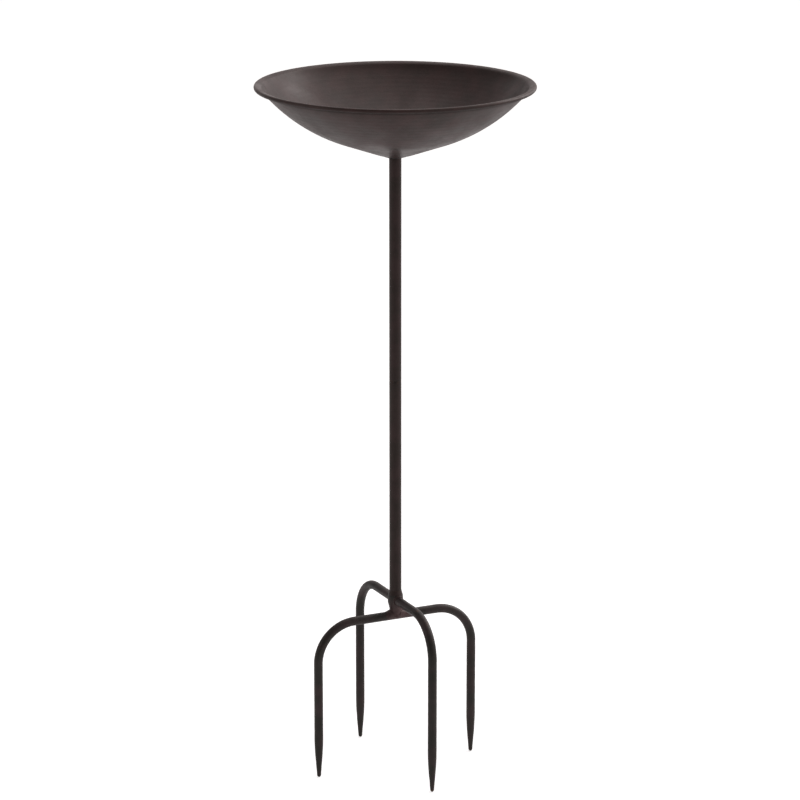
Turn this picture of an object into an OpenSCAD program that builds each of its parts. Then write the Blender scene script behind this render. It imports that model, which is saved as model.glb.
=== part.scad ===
// Garden bird dish: a spun bowl on a two-section tube pole with a four-prong ground stake.
// Millimetres, +Z up. The origin is on the pole's axis, level with the tips of the prongs.
// The lower of the two crossed prong bars runs along X and the upper one along Y.

/* [Overall] */
// Height from the prong tips to the top of the rim
total_h = 780; // [700:1:900]

/* [Bowl] */
// Outside diameter of the rolled rim
rim_d = 305; // [295:1:340]
// Thickness of the spun sheet
sheet_t = 1; // [0.8:0.1:1.4]
// Diameter of the rolled bead around the rim
bead_d = 4.6; // [3.8:0.1:5]
// Radius of the flat in the middle of the bowl
flat_r = 14; // [13.5:0.5:18]
// Radius of the bend between the flat and the cone
knuckle_r = 20; // [10:1:30]
// Rise of the straight cone around the flat, in degrees
cone_deg = 19.5; // [18:0.5:21]
// Radius of the long curve of the bowl's side
side_r = 190; // [180:1:195]
// Rise at the top of that curve, in degrees
side_deg = 47; // [45:0.5:48]
// Radius of the tighter curve under the lip
shoulder_r = 60; // [50:1:65]
// Steepest rise of the wall, in degrees
shoulder_deg = 57; // [55:0.5:59]
// Radius of the outward flare on the underside of the lip
flare_r = 5; // [4:0.5:6]
// Rise of the lip where it meets the bead, in degrees
lip_deg = 8; // [6:0.5:12]

/* [Bowl fixing] */
// Diameter of the backing flange under the bowl
flange_d = 24; // [20:1:26]
// Thickness of the backing flange
flange_t = 1.6; // [1.2:0.1:2.5]
// Leg of the fillet weld around the flange
flange_weld_leg = 1.4; // [1:0.1:1.5]
// Diameter of the threaded stud
stud_d = 8; // [8:1:8]
// Length of the stud below the bowl
stud_len = 20; // [18:1:26]
// Length of the chamfer on the end of the stud
stud_chamfer = 1; // [0.5:0.1:1.5]
// Outside diameter of the rubber washer
washer_d = 16; // [14:0.5:18]
// Thickness of the rubber washer
washer_t = 1.6; // [1:0.1:2.5]

/* [Pole] */
// Outside diameter of the pole tube
pole_d = 13.5; // [13.2:0.1:14]
// Wall of the pole tube
pole_wall = 1.2; // [1:0.1:1.3]
// Height of the joint between the two pole sections
joint_z = 450; // [400:1:500]
// Length of the threaded insert in the pole's top end
insert_len = 20; // [18:1:26]
// Length of the ferrule held in the upper pole
ferrule_held = 25; // [20:1:40]
// Length of the ferrule that slides into the lower pole
ferrule_free = 30; // [20:1:40]
// Bore of the ferrule
ferrule_bore = 8; // [6:0.1:8.4]
// Length of the lead-in chamfer on the ferrule
ferrule_lead = 1.5; // [0.5:0.1:3]
// Clearance on the radius of the ferrule's sliding end
slide_gap = 0.075; // [0.03:0.005:0.1]
// Clearance on the radius between stud and insert
thread_gap = 0.05; // [0.02:0.01:0.1]

/* [Stake] */
// Diameter of the prong rod
rod_d = 10; // [8:0.5:10]
// Distance from the pole's axis to each prong
prong_span = 95; // [85:1:110]
// Radius of each bend along the middle of the rod
bend_r = 44; // [35:1:55]
// Height of the lower prong bar
lower_bar_z = 178; // [150:1:200]
// Height of the upper prong bar above the lower one
bar_rise = 18.5; // [15:0.5:24]
// Length of the forged taper at each tip
taper_len = 48; // [30:1:60]
// Diameter of the blunt end of each tip
tip_d = 4.6; // [3:0.1:6]
// Outside diameter of the collar where the upper bar goes through the pole
collar_d = 17.4; // [17:0.1:18.5]
// Length of the straight part of the collar
collar_h = 12.8; // [12.8:0.2:16]
// Length of the collar's tapered foot
collar_skirt_h = 4; // [3:0.1:4.5]
// Height of the fillet weld on top of the collar
collar_weld_h = 5.2; // [3:0.1:7]
// Length of the welds along the upper bar
upper_weld_len = 3.5; // [2:0.1:5]
// Length of the welds along the lower bar
lower_weld_len = 6; // [3:0.1:8]
// How far the welds stand out around the bars
bar_weld_rise = 1.3; // [1:0.1:1.4]

/* [Hidden] */
$fn = 96;

bronze = [0.20, 0.17, 0.16];
zinc = [0.70, 0.70, 0.72];
black_rubber = [0.06, 0.06, 0.06];

// Reach of a cutter beyond the face it cuts
over = 1;
// Step left between the edge of a weld and the face it ends on
weld_step = 0.2;
// How far the thin end of the collar's foot stands out from the pole
skirt_lip = 0.5;
// Steps in the bowl's curves
side_steps = 12;
small_steps = 4;
bead_steps = 14;
tip_steps = 5;

rim_r = rim_d / 2;
bead_r = bead_d / 2;
bead_c = [rim_r - bead_r, -bead_r];
// Angle above the bead's middle at which the lip's underside meets it
crease_deg = 22;
lip_end = bead_c + bead_r * [-cos(crease_deg), sin(crease_deg)];

// Run and rise of a curve of radius r from slope a to slope b
function sweep(r, a, b) = r * [sin(b) - sin(a), cos(a) - cos(b)];
// Centre of a curve of radius r that passes p at slope a
function centre_of(p, r, a) = p + r * [-sin(a), cos(a)];
// Points of a curve about c from slope a to slope b; a negative radius curves outwards
function curve(c, r, a, b, steps) =
    [for (i = [0 : steps]) let (s = a + (b - a) * i / steps) c + r * [sin(s), -cos(s)]];
function reversed(list) = [for (i = [len(list) - 1 : -1 : 0]) list[i]];

curves_sum = sweep(knuckle_r, 0, cone_deg) + sweep(side_r, cone_deg, side_deg)
    + sweep(shoulder_r, side_deg, shoulder_deg) + sweep(-flare_r, shoulder_deg, lip_deg);
cone_run = lip_end[0] - flat_r - curves_sum[0];
cone_rise = cone_run * tan(cone_deg);
// Depth of the bowl's outside below the top of the rim
bowl_depth = curves_sum[1] + cone_rise - lip_end[1];

flat_end = [flat_r, -bowl_depth];
cone_start = flat_end + sweep(knuckle_r, 0, cone_deg);
side_start = cone_start + [cone_run, cone_rise];
shoulder_start = side_start + sweep(side_r, cone_deg, side_deg);
flare_start = shoulder_start + sweep(shoulder_r, side_deg, shoulder_deg);

// One face of the bowl's wall from the flat to the lip, t inside the outer face
function wall_face(t) = concat(
    curve(centre_of(flat_end, knuckle_r, 0), knuckle_r - t, 0, cone_deg, small_steps),
    curve(centre_of(side_start, side_r, cone_deg), side_r - t, cone_deg, side_deg, side_steps),
    curve(centre_of(shoulder_start, shoulder_r, side_deg), shoulder_r - t,
          side_deg, shoulder_deg, small_steps),
    curve(centre_of(flare_start, -flare_r, shoulder_deg), -flare_r - t,
          shoulder_deg, lip_deg, small_steps));

// The bead's outline, from the crease under the lip, round the outside, to its top
bead_arc = [for (i = [1 : bead_steps])
    let (a = 180 - crease_deg + (270 + crease_deg) * i / bead_steps)
    bead_c + bead_r * [cos(a), sin(a)]];

bowl_z = total_h - bowl_depth;
flange_z = bowl_z - flange_t;
pole_top_z = flange_z - washer_t;
pole_r = pole_d / 2;
pole_bore_r = pole_r - pole_wall;
stud_r = stud_d / 2;
rod_r = rod_d / 2;
collar_r = collar_d / 2;
upper_bar_z = lower_bar_z + bar_rise;
collar_top_z = upper_bar_z + collar_h / 2;

// A plain tube or ring standing on the XY plane
module tube(outer_r, inner_r, h) {
    difference() {
        cylinder(h = h, r = outer_r);
        translate([0, 0, -over]) cylinder(h = h + 2 * over, r = inner_r);
    }
}

// A fillet weld that slopes from foot_r down to the tube it wraps
module fillet_ring(foot_r, tube_r, h) {
    difference() {
        cylinder(h = h, r1 = foot_r, r2 = tube_r + weld_step);
        translate([0, 0, -over]) cylinder(h = h + 2 * over, r = tube_r);
    }
}

module bowl() {
    outline = concat([[0, -bowl_depth]], wall_face(0), bead_arc,
                     reversed(wall_face(sheet_t)), [[0, sheet_t - bowl_depth]]);
    color(bronze) translate([0, 0, total_h]) rotate_extrude() polygon(outline);
}

module bowl_flange() {
    color(bronze) translate([0, 0, flange_z]) tube(flange_d / 2, stud_r, flange_t);
}

module flange_weld() {
    color(bronze) translate([0, 0, bowl_z]) mirror([0, 0, 1])
        fillet_ring(flange_d / 2 + flange_weld_leg, flange_d / 2, flange_weld_leg);
}

module bowl_stud() {
    shank = stud_len - stud_chamfer;
    color(zinc) translate([0, 0, bowl_z]) mirror([0, 0, 1]) {
        cylinder(h = shank, r = stud_r);
        translate([0, 0, shank]) cylinder(h = stud_chamfer, r1 = stud_r, r2 = stud_r - stud_chamfer);
    }
}

module bowl_washer() {
    color(black_rubber) translate([0, 0, pole_top_z]) tube(washer_d / 2, stud_r + thread_gap, washer_t);
}

module upper_pole() {
    color(bronze) translate([0, 0, joint_z]) tube(pole_r, pole_bore_r, pole_top_z - joint_z);
}

module top_insert() {
    color(zinc) translate([0, 0, pole_top_z - insert_len])
        tube(pole_bore_r, stud_r + thread_gap, insert_len);
}

module pole_ferrule() {
    free_r = pole_bore_r - slide_gap;
    outline = [[ferrule_bore / 2, -ferrule_free], [free_r - ferrule_lead / 2, -ferrule_free],
               [free_r, ferrule_lead - ferrule_free], [free_r, 0],
               [pole_bore_r, 0], [pole_bore_r, ferrule_held], [ferrule_bore / 2, ferrule_held]];
    color(zinc) translate([0, 0, joint_z]) rotate_extrude() polygon(outline);
}

// The lower pole sits on the lower bar like a saddle and the upper bar passes through it
module lower_pole() {
    color(bronze) difference() {
        translate([0, 0, lower_bar_z]) tube(pole_r, pole_bore_r, joint_z - lower_bar_z);
        translate([0, 0, lower_bar_z]) rod_along_x(collar_d);
        translate([0, 0, upper_bar_z]) rotate([0, 0, 90]) rod_along_x(collar_d);
    }
}

// The collar wraps the pole where the upper bar passes through both
module stake_collar() {
    low = -collar_h / 2 - collar_skirt_h;
    outline = [[pole_r, low], [pole_r + skirt_lip, low],
               [collar_r, -collar_h / 2], [collar_r, collar_h / 2], [pole_r, collar_h / 2]];
    color(bronze) translate([0, 0, upper_bar_z]) difference() {
        rotate_extrude() polygon(outline);
        rotate([0, 0, 90]) rod_along_x(2 * collar_d);
    }
}

module collar_weld() {
    color(bronze) translate([0, 0, collar_top_z]) fillet_ring(collar_r - weld_step, pole_r, collar_weld_h);
}

// A straight piece of prong rod, centred on the origin
module rod_along_x(length) {
    rotate([0, 90, 0]) translate([0, 0, -length / 2]) cylinder(h = length, r = rod_r);
}

// A prong's leg with its forged taper, standing on its tip
module prong_leg(height) {
    tip_r = tip_d / 2;
    tip_arc = [for (i = [0 : tip_steps])
        let (a = 90 * i / tip_steps) [tip_r * sin(a), tip_r * (1 - cos(a))]];
    rotate_extrude() polygon(concat(tip_arc, [[rod_r, taper_len], [rod_r, height], [0, height]]));
}

// One rod bent down at both ends, along X, with its top at bar_z
module prong_bar(bar_z) {
    straight = 2 * (prong_span - bend_r);
    leg_h = bar_z - bend_r;
    translate([0, 0, bar_z]) rod_along_x(straight);
    for (side = [0, 180]) rotate([0, 0, side]) {
        translate([straight / 2, 0, leg_h]) rotate([90, 0, 0])
            rotate_extrude(angle = 90) translate([bend_r, 0]) circle(r = rod_r);
        translate([prong_span, 0, 0]) prong_leg(leg_h);
    }
}

module lower_prong_bar() {
    color(bronze) prong_bar(lower_bar_z);
}

module upper_prong_bar() {
    color(bronze) rotate([0, 0, 90]) prong_bar(upper_bar_z);
}

// The welds around a bar along X, on both sides of the round wall it meets.
// They hang down no lower than depth below the bar's middle.
module bar_weld(bar_z, wall_r, length, depth) {
    foot_r = rod_r + bar_weld_rise;
    root_x = sqrt(wall_r * wall_r - foot_r * foot_r);
    translate([0, 0, bar_z]) difference() {
        for (side = [0, 180]) rotate([0, 0, side]) translate([root_x, 0, 0]) rotate([0, 90, 0])
            fillet_ring(foot_r, rod_r, wall_r - root_x + length);
        translate([0, 0, -collar_d]) cylinder(h = 2 * collar_d, r = wall_r);
        translate([0, 0, -depth - collar_d]) cylinder(h = collar_d, r = 2 * collar_d);
    }
}

// The pole's foot ends level with the lower bar's middle, and so does its weld
module lower_bar_weld() {
    color(bronze) bar_weld(lower_bar_z, pole_r, lower_weld_len, 0);
}

module upper_bar_weld() {
    all_round = rod_r + bar_weld_rise + over;
    color(bronze) rotate([0, 0, 90]) bar_weld(upper_bar_z, collar_r, upper_weld_len, all_round);
}

bowl();
bowl_flange();
flange_weld();
bowl_stud();
bowl_washer();
upper_pole();
top_insert();
pole_ferrule();
lower_pole();
stake_collar();
collar_weld();
upper_prong_bar();
lower_prong_bar();
upper_bar_weld();
lower_bar_weld();
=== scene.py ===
import math

import bmesh
import bpy
import numpy as np
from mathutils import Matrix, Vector, noise


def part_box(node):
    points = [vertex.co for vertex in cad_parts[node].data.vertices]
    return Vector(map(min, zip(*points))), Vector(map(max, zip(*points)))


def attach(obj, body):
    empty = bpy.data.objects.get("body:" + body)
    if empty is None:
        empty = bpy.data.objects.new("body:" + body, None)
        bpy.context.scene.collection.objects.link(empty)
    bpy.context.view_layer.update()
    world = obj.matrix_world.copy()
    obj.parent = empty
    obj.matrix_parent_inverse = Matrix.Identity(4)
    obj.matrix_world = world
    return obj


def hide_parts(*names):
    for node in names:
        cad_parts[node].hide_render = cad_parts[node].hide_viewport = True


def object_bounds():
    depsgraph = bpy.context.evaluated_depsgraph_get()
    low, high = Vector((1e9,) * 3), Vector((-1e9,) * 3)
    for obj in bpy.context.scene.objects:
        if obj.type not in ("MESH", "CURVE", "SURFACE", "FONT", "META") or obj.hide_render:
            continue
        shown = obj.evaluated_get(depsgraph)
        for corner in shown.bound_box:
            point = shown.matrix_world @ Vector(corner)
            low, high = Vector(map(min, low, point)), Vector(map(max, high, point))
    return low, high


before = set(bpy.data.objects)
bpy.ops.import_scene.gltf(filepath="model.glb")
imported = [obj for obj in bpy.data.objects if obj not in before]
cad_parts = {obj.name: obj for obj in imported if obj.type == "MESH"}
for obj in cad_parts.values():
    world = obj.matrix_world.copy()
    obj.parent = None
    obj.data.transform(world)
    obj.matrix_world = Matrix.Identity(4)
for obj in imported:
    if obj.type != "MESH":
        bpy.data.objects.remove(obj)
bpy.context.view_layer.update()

MM = 0.001

# The camera: it looks down at the part from in front and a little to one side. Metres and degrees, and
# millimetres for its lens and sensor
CAMERA_AZIMUTH = -25.35
CAMERA_DISTANCE = 3.6686
CAMERA_ABOVE_RIM = 0.64445
CAMERA_PITCH = 15.2
CAMERA_YAW = 0.08
CAMERA_LENS = 155.1
CAMERA_SENSOR = 36
CAMERA_NEAR, CAMERA_FAR = 0.1, 60

# The bowl's sheet, as the CAD model has it: radii and slopes of its curves, from the middle outwards
SHEET_T = 1.0 * MM
BEAD_R = 2.3 * MM
FLAT_R = 14 * MM
KNUCKLE_R, CONE_DEG = 20 * MM, 19.5
SIDE_R, SIDE_DEG = 190 * MM, 47.0
SHOULDER_R, SHOULDER_DEG = 60 * MM, 57.0
FLARE_R, LIP_DEG = 5 * MM, 8.0
CREASE_DEG = 22.0

# The rolled edge: where its curl starts and how far it turns
CURL_START_DEG = 98.0
CURL_TURN_DEG = 272.0
# Waves that the spinning roller leaves in the sheet, how far they stay off its edge, and how they fade in
SPIN_WAVE = 0.035 * MM
SPIN_PITCH = 6.5 * MM
SPIN_MARGIN = 18 * MM
SPIN_FADE = 10 * MM
# How far the sheet's cut edge is rounded out, as a part of its thickness
CUT_EDGE = 0.18

# M8 coarse thread, the play between stud and insert, and how far the thread fades at the ends of each
PITCH = 1.25 * MM
STUD_R = 4.0 * MM
STUD_ROOT_R = 3.24 * MM
THREAD_PLAY = 0.08 * MM
STUD_LEAD = 1.0 * MM
INSERT_LEAD = 0.35 * MM
# Points round a thread, and rows of them in one pitch
THREAD_AROUND = 60
THREAD_STEPS = 16

# The plain floor: its size, how bright it looks beyond the light on it, and how much of that lights the part
FLOOR_SIZE = 30
FLOOR_GLOW = 0.62
FLOOR_BOUNCE = 0.11
# The studio's soft surroundings: how bright they are away from and towards their bright side
SKY_DIM, SKY_BRIGHT = 0.12, 0.95
# Where that bright side is, as seen from the camera: to the right, away from it, and up
SKY_BRIGHT_SIDE = (0.8, 0.6, 0.1)
# The range over which they brighten, from -1 straight away from that side to 1 straight towards it
SKY_FROM, SKY_TO = -0.6, 0.9
# The slightly warm tone of what the part mirrors
SKY_TINT = (1.0, 0.93, 0.915)
# The lights aim here. Each has a place as seen from the camera, in metres, then its size and its watts
LIGHT_TARGET = (0, 0, 0.5)
SOFTBOXES = (
    ("softbox_right", (2.2, 1.6, 1.9), (1.6, 2.0), 25),
    ("softbox_left", (-2.6, -0.8, 1.6), (1.6, 2.0), 8),
    ("softbox_top", (0.4, 0.8, 3.4), (3.0, 3.0), 20),
)

# How strongly the coat mirrors its surroundings, and the tone it gives them: warm, or nearly neutral
SHEEN = 0.42
WARM_SHEEN = (1.0, 0.84, 0.80)
PLAIN_SHEEN = (0.95, 0.92, 0.88)
# The coat's roughness where it is smooth and where it is smudged, and its changes where it is rubbed or given
# a painted highlight, and where it is given painted shade
COAT_SMOOTH, COAT_SMUDGED = 0.33, 0.5
RUBBED_SMOOTHER = 0.08
PAINTED_SHADE_ROUGHER = 0.3
RUBBED_METAL = 0.5
# How much brighter the coat's flecks are than its warm tone
FLECK_BRIGHTER = 1.9
# Tones, in linear light: coat rubbed to copper, also used for a painted highlight, coat browned by welding,
# painted shade, plating, rubber and floor
COPPER_RUB_AND_HIGHLIGHT = (0.11, 0.062, 0.042)
WELD_BROWN = (0.087, 0.050, 0.051)
PAINTED_SHADE_TONE = (0.0045, 0.0035, 0.0032)
ZINC_GREY, ZINC_WARM, ZINC_LINE = (0.50, 0.50, 0.50), (0.66, 0.64, 0.58), (0.34, 0.34, 0.35)
RUBBER_BLACK, RUBBER_BLOOM = (0.012, 0.012, 0.012), (0.034, 0.033, 0.031)
FLOOR_DARK, FLOOR_LIGHT = (0.80, 0.80, 0.80), (0.82, 0.82, 0.82)
# The coat's dark, light and warm tones on each part of the object
BOWL_TONES = ((0.0175, 0.0112, 0.0105), (0.0272, 0.0160, 0.0151), (0.0385, 0.0185, 0.0185))
POLE_TONES = ((0.0070, 0.0062, 0.0046), (0.0160, 0.0114, 0.0100), (0.029, 0.0155, 0.0165))
STAKE_TONES = ((0.0065, 0.0070, 0.0055), (0.0160, 0.0150, 0.0125), (0.034, 0.0190, 0.0210))
WELD_TONES = ((0.017, 0.0125, 0.0110), (0.026, 0.0170, 0.0155), (0.040, 0.0230, 0.0230))
# Noise patterns: how fine they are per metre, how many octaves, and how rough
NOISE = {
    "broad_tone": (9, 4, 0.55),
    "mottling": (46, 5, 0.6),
    "specks": (950, 2, 0.55),
    "ragged_wear": (160, 5, 0.65),
    "smudges": (24, 6, 0.62),
    "orange_peel": (620, 2, 0.5),
    "ring_drift": (14, 2, 0.55),
    "ring_depth": (60, 3, 0.55),
    "zinc_cloud": (180, 4, 0.55),
    "lathe_lines": (900, 2, 0.5),
    "rubber_bloom": (320, 5, 0.65),
    "rubber_grain": (1500, 3, 0.55),
    "floor_tone": (1.5, 3, 0.55),
}
# The coat: the noise values that each pattern fades over, and how strong it is at most or at least
BROAD_SPREAD = (0.36, 0.64)
MOTTLING_SPREAD, MOTTLING_MOST = (0.40, 0.62), 0.9
FLECK_SPREAD, FLECK_MOST = (0.58, 0.75), 0.3
RAGGED_SPREAD, RAGGED_BY = (0.3, 0.7), 0.45
SMUDGE_SPREAD = (0.35, 0.65)
HEAT_SPREAD, HEAT_LEAST = (0.3, 0.6), 0.35
# The amounts of wear over which copper shows, and of painted shade over which it fades out, and how much
# painted shade covers at most
RUBBED_SPREAD = (0.55, 0.95)
PAINTED_SHADE_SPREAD, PAINTED_SHADE_MOST = (-0.9, 0.0), 0.85
PEEL_STRENGTH, PEEL_H = 0.45, 0.16 * MM
# The bowl's spinning rings: pitch, unevenness, and how deep they are
RING_PITCH = 1.7 * MM
RING_DRIFT = 1.2 * MM
RING_SPREAD, RING_LEAST = (0.35, 0.7), 0.1
RING_STRENGTH, RING_H = 0.25, 0.03 * MM
# Zinc: cloudiness, lathe lines and how they stretch round the axis, and roughness
ZINC_SPREAD = (0.35, 0.65)
LATHE_STRETCH = (0.04, 0.04, 4.0)
LATHE_SPREAD, LATHE_MOST = (0.4, 0.6), 0.35
LATHE_STRENGTH, LATHE_H = 0.3, 0.04 * MM
ZINC_GLOSS_SPREAD, ZINC_ROUGHNESS = (0.3, 0.7), (0.28, 0.45)
# Rubber: where its bloom starts and is full, its roughness, and its grain
BLOOM_START, BLOOM_FULL = 0.35, 0.7
RUBBER_GLOSS_SPREAD, RUBBER_ROUGHNESS = (0.3, 0.7), (0.62, 0.85)
GRAIN_STRENGTH, GRAIN_H = 0.3, 0.06 * MM
# The floor: the noise values between which its tone changes, its roughness and its mirroring
FLOOR_FROM, FLOOR_TO = 0.3, 0.7
FLOOR_ROUGHNESS, FLOOR_SHEEN = 0.9, 0.1

# A tube's wall, the rows along it, and how unevenly it is drawn: how deep, how fine, and finer round it
TUBE_WALL = 1.2 * MM
TUBE_STEP = 6 * MM
TUBE_DRAWN = 0.05 * MM
DRAWN_SCALE, DRAWN_AROUND = 45, 3
# The joining sleeve's play in the lower tube, bore and chamfer, and the washer's play round the stud
SLIDE_GAP = 0.075 * MM
FERRULE_BORE_R = 4 * MM
FERRULE_LEAD = 1.5 * MM
WASHER_PLAY = 0.05 * MM
# The rods: the radius of a bend along their middle, and the step along them
BEND_R = 44 * MM
ROD_STEP = 2.0 * MM
# Their tapers: how long, how soon they thicken, and the round tip, whose rows start at this angle
TAPER = 48 * MM
TAPER_POWER = 1.15
TIP_R = 2.3 * MM
TIP_FROM_DEG = 6
# How far corners are softened: tube ends, the washer, the flange, and turned parts
SOFT_EDGE = 0.45 * MM
WASHER_EDGE = 0.5 * MM
FLANGE_EDGE = 0.35 * MM
TURNED_EDGE = 0.3 * MM
# Hammer marks: how square the forged taper is, how oval a bend is, and dents on the rod and at the taper
FORGED_SQUARE = 0.035
BEND_OVAL = 0.02
ROD_DENT, TAPER_DENT, FINE_DENT = 0.10 * MM, 0.22 * MM, 0.05 * MM
DENT_SCALE, FINE_DENT_SCALE = 140, 420

# The painted shade in the groove under the rolled rim: its middle below the roll, and how far it fades up and
# down
GROOVE_DROP = 0.9 * MM
GROOVE_H = 3.2 * MM
# How rubbed the coat is, from 0 to 1: rim, flange, tube ends, tips, rod tops, bends, collar and welds. On the
# bends this is a painted highlight
RIM_RUB, RIM_RUB_H = 0.45, 1.3 * MM
FLANGE_RUB = 0.25
END_RUB, END_RUB_H = 0.7, 2.0 * MM
TIP_RUB, TIP_RUB_H = 0.55, 16 * MM
TOP_RUB, TOP_RUB_H = 0.3, 1.2 * MM
# The outside of the rods' bends: a painted highlight, drawn with the coppery rubbed tone
BEND_PAINTED_HIGHLIGHT = 0.42
COLLAR_RUB = 0.2
WELD_RUB = 0.22

# Weld beads: the step along them in millimetres, the rounds that soften their corners, then radii and ripples
BEAD_STEP_MM = 0.3
BEAD_SOFTEN = 12
FLANGE_BEAD_R, FLANGE_RIPPLE = 1.25 * MM, 1.9 * MM
UPPER_BEAD_R, UPPER_RIPPLE = 1.4 * MM, 2.1 * MM
LOWER_BEAD_R, LOWER_RIPPLE = 1.9 * MM, 2.3 * MM
# The flange's bead: how far its middle is outside the flange's edge and below the top of the weld
FLANGE_BEAD_OUT, FLANGE_BEAD_DROP = 0.1 * MM, 0.25 * MM
# The bead round the pole's foot: how far it is drawn in over the bar's sides, how it follows them, how low
LOWER_DRAW_IN, LOWER_FOLLOW, LOWER_DROP = 0.87, 0.8, 0.2 * MM
# How a bead swells with each ripple and with broad and fine lumps, and how its ripples trail at the sides
RIPPLE_SWELL, RIPPLE_TRAIL = 0.09, 0.25
BEAD_LUMP, BEAD_LUMP_SCALE = 0.16, 230
BEAD_FINE_LUMP, BEAD_FINE_SCALE = 0.07, 700
# The weld that runs along the lower bar: how thick on top, how thick at the sides and how much less below,
# as parts of that, how much of its length is full, then its lumps, ripples and ragged ends
PUDDLE_RISE = 1.5 * MM
PUDDLE_SIDE, PUDDLE_FALL = 0.75, 0.85
PUDDLE_FULL = 0.45
PUDDLE_LUMP, PUDDLE_LUMP_SCALE = 0.35, 260
PUDDLE_RIPPLE, PUDDLE_RIPPLES = 0.08, 24
PUDDLE_RAGGED, PUDDLE_RAGGED_SCALE = 0.22, 1.6
# How far pieces reach into the metal that they sit on, so that no gap shows
SUNK = 0.3 * MM
PUDDLE_SUNK = 0.05 * MM
# How far the collar and its weld swell beyond the pole, from 0 to 1, by height from the upper bar's middle
SWELL_AT = [h * MM for h in (-10.4, -8, -5.5, -3, 0, 4, 7.5, 9.8, 11.6)]
SWELL = (0.0, 0.3, 0.62, 0.95, 1.0, 0.93, 0.6, 0.24, 0.0)
# Their rows, how rough each is, how broad and fine lumps share in that, and the fade at their ends
SWELL_STEP = 0.5 * MM
COLLAR_ROUGH, COLLAR_WELD_ROUGH = 0.12 * MM, 0.3 * MM
SWELL_LUMP, SWELL_LUMP_SCALE = 0.3, 190
SWELL_FINE_LUMP, SWELL_FINE_SCALE = 0.7, 520
SWELL_FADE = 2 * MM


# ---------------------------------------------------------------- mesh tools

def link(name, mesh, material, sharp_deg=38):
    """Makes a smooth-shaded object of a mesh, with edges over sharp_deg kept crisp."""
    mesh.validate()
    mesh.materials.append(material)
    mesh.shade_smooth()
    mesh.set_sharp_from_angle(angle=math.radians(sharp_deg))
    obj = bpy.data.objects.new(name, mesh)
    bpy.context.scene.collection.objects.link(obj)
    return obj


def quads(rows, columns, loop_rows, loop_columns=True):
    """Faces of a grid of rows x columns points that may close on itself either way."""
    row_steps = rows if loop_rows else rows - 1
    column_steps = columns if loop_columns else columns - 1
    return [(r * columns + c, r * columns + (c + 1) % columns,
             (r + 1) % rows * columns + (c + 1) % columns, (r + 1) % rows * columns + c)
            for r in range(row_steps) for c in range(column_steps)]


def grid_object(name, rings, material, loop=False, wear_and_painted_light=None, sharp_deg=38):
    """A mesh of rings of points. It is a closed loop of rings, or its two ends are capped with a fan."""
    rings = np.asarray(rings, float)
    rows, columns = rings.shape[:2]
    points = rings.reshape(-1, 3)
    faces = quads(rows, columns, loop)
    if not loop:
        middles = np.array([rings[0].mean(axis=0), rings[-1].mean(axis=0)])
        first, last = len(points), len(points) + 1
        end = (rows - 1) * columns
        points = np.vstack([points, middles])
        faces += [(first, (c + 1) % columns, c) for c in range(columns)]
        faces += [(last, end + c, end + (c + 1) % columns) for c in range(columns)]
    mesh = bpy.data.meshes.new(name)
    mesh.from_pydata(points.tolist(), [], faces)
    tidy(mesh)
    add_wear_and_painted_light(mesh, wear_and_painted_light)
    return link(name, mesh, material, sharp_deg)


def tidy(mesh, distance=1e-6):
    """Joins points that coincide and turns all faces outwards."""
    bm = bmesh.new()
    bm.from_mesh(mesh)
    bmesh.ops.remove_doubles(bm, verts=bm.verts, dist=distance)
    bmesh.ops.recalc_face_normals(bm, faces=bm.faces)
    bm.to_mesh(mesh)
    bm.free()


def add_wear_and_painted_light(mesh, wear_and_painted_light):
    """Stores how rubbed each point is, up to 1, or how much painted shade it gets, down to -1, for the
    materials to read.
    """
    values = np.zeros(len(mesh.vertices), np.float32)
    if wear_and_painted_light is not None:
        values[:] = [min(1.0, max(-1.0, wear_and_painted_light(v.co))) for v in mesh.vertices]
    attribute = mesh.attributes.new("wear_and_painted_light", "FLOAT", "POINT")
    attribute.data.foreach_set("value", values)


def lathe(name, outline, material, segments, solid=False, wear_and_painted_light=None, shape=None, sharp_deg=38):
    """Turns an outline of (radius, height) round the pole's axis. A solid one starts and ends on the axis."""
    rings = [circle(r, z, segments) for r, z in outline]
    if shape:
        rings = [[shape(Vector(p)) for p in ring] for ring in rings]
    return grid_object(name, rings, material, not solid, wear_and_painted_light, sharp_deg)


def circle(radius, height, count):
    """Points round the pole's axis."""
    angles = np.linspace(0, 2 * math.pi, count, endpoint=False)
    return [(radius * math.cos(a), radius * math.sin(a), height) for a in angles]


def slope_arc(centre, radius, start, end, steps):
    """Points of a curve about centre from slope start to slope end. A negative radius curves outwards."""
    slopes = np.radians(np.linspace(start, end, steps + 1))
    return [(centre[0] + radius * math.sin(s), centre[1] - radius * math.cos(s)) for s in slopes]


def sweep(radius, start, end):
    """Run and rise of such a curve."""
    a, b = math.radians(start), math.radians(end)
    return np.array([radius * (math.sin(b) - math.sin(a)), radius * (math.cos(a) - math.cos(b))])


def centre_of(point, radius, slope):
    """Centre of a curve that passes the point at that slope."""
    s = math.radians(slope)
    return point + radius * np.array([-math.sin(s), math.cos(s)])


def corner(centre, radius, start, end, steps=5):
    """Points round a soft corner, by angle from the +radius direction."""
    angles = np.radians(np.linspace(start, end, steps + 1))
    return [(centre[0] + radius * math.cos(a), centre[1] + radius * math.sin(a)) for a in angles]


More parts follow.
